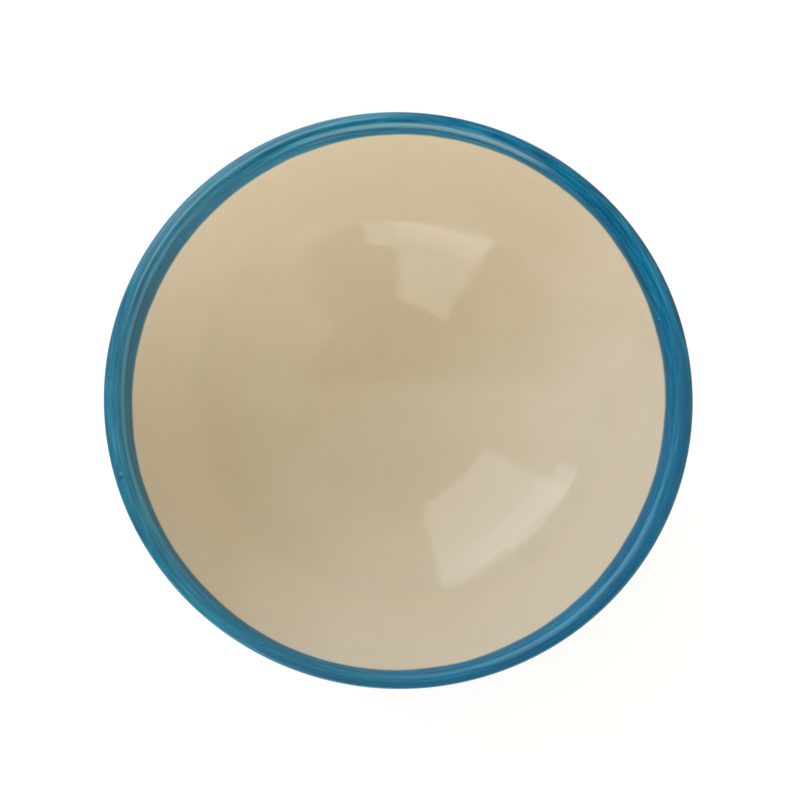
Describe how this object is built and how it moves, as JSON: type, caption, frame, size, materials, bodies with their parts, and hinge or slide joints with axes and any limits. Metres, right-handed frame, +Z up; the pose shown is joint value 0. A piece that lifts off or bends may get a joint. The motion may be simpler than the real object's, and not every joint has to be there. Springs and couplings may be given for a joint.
{
  "type": "pickle bowl",
  "caption": "Small round glazed ceramic bowl on a foot ring, cream inside with a brushed blue lip and blue outside, for serving pickles, dips or condiments.",
  "frame": {"origin": "centre of the foot ring, on the surface that the bowl stands on", "axes": "+Z up along the bowl's axis, +X and +Y across the mouth"},
  "size_m": [0.11, 0.11, 0.04],
  "materials": {
    "fired_clay": "bare fired clay, matt and slightly gritty",
    "cream_glaze": "glossy opaque cream glaze",
    "blue_glaze": "glossy blue glaze, brushed on in rings"
  },
  "bodies": {
    "root": {"clay_body": "fired_clay", "cream_lining": "cream_glaze", "blue_rim_band": "blue_glaze", "blue_outer_coat": "blue_glaze", "foot_well_wash": "cream_glaze"}
  },
  "joints": []
}
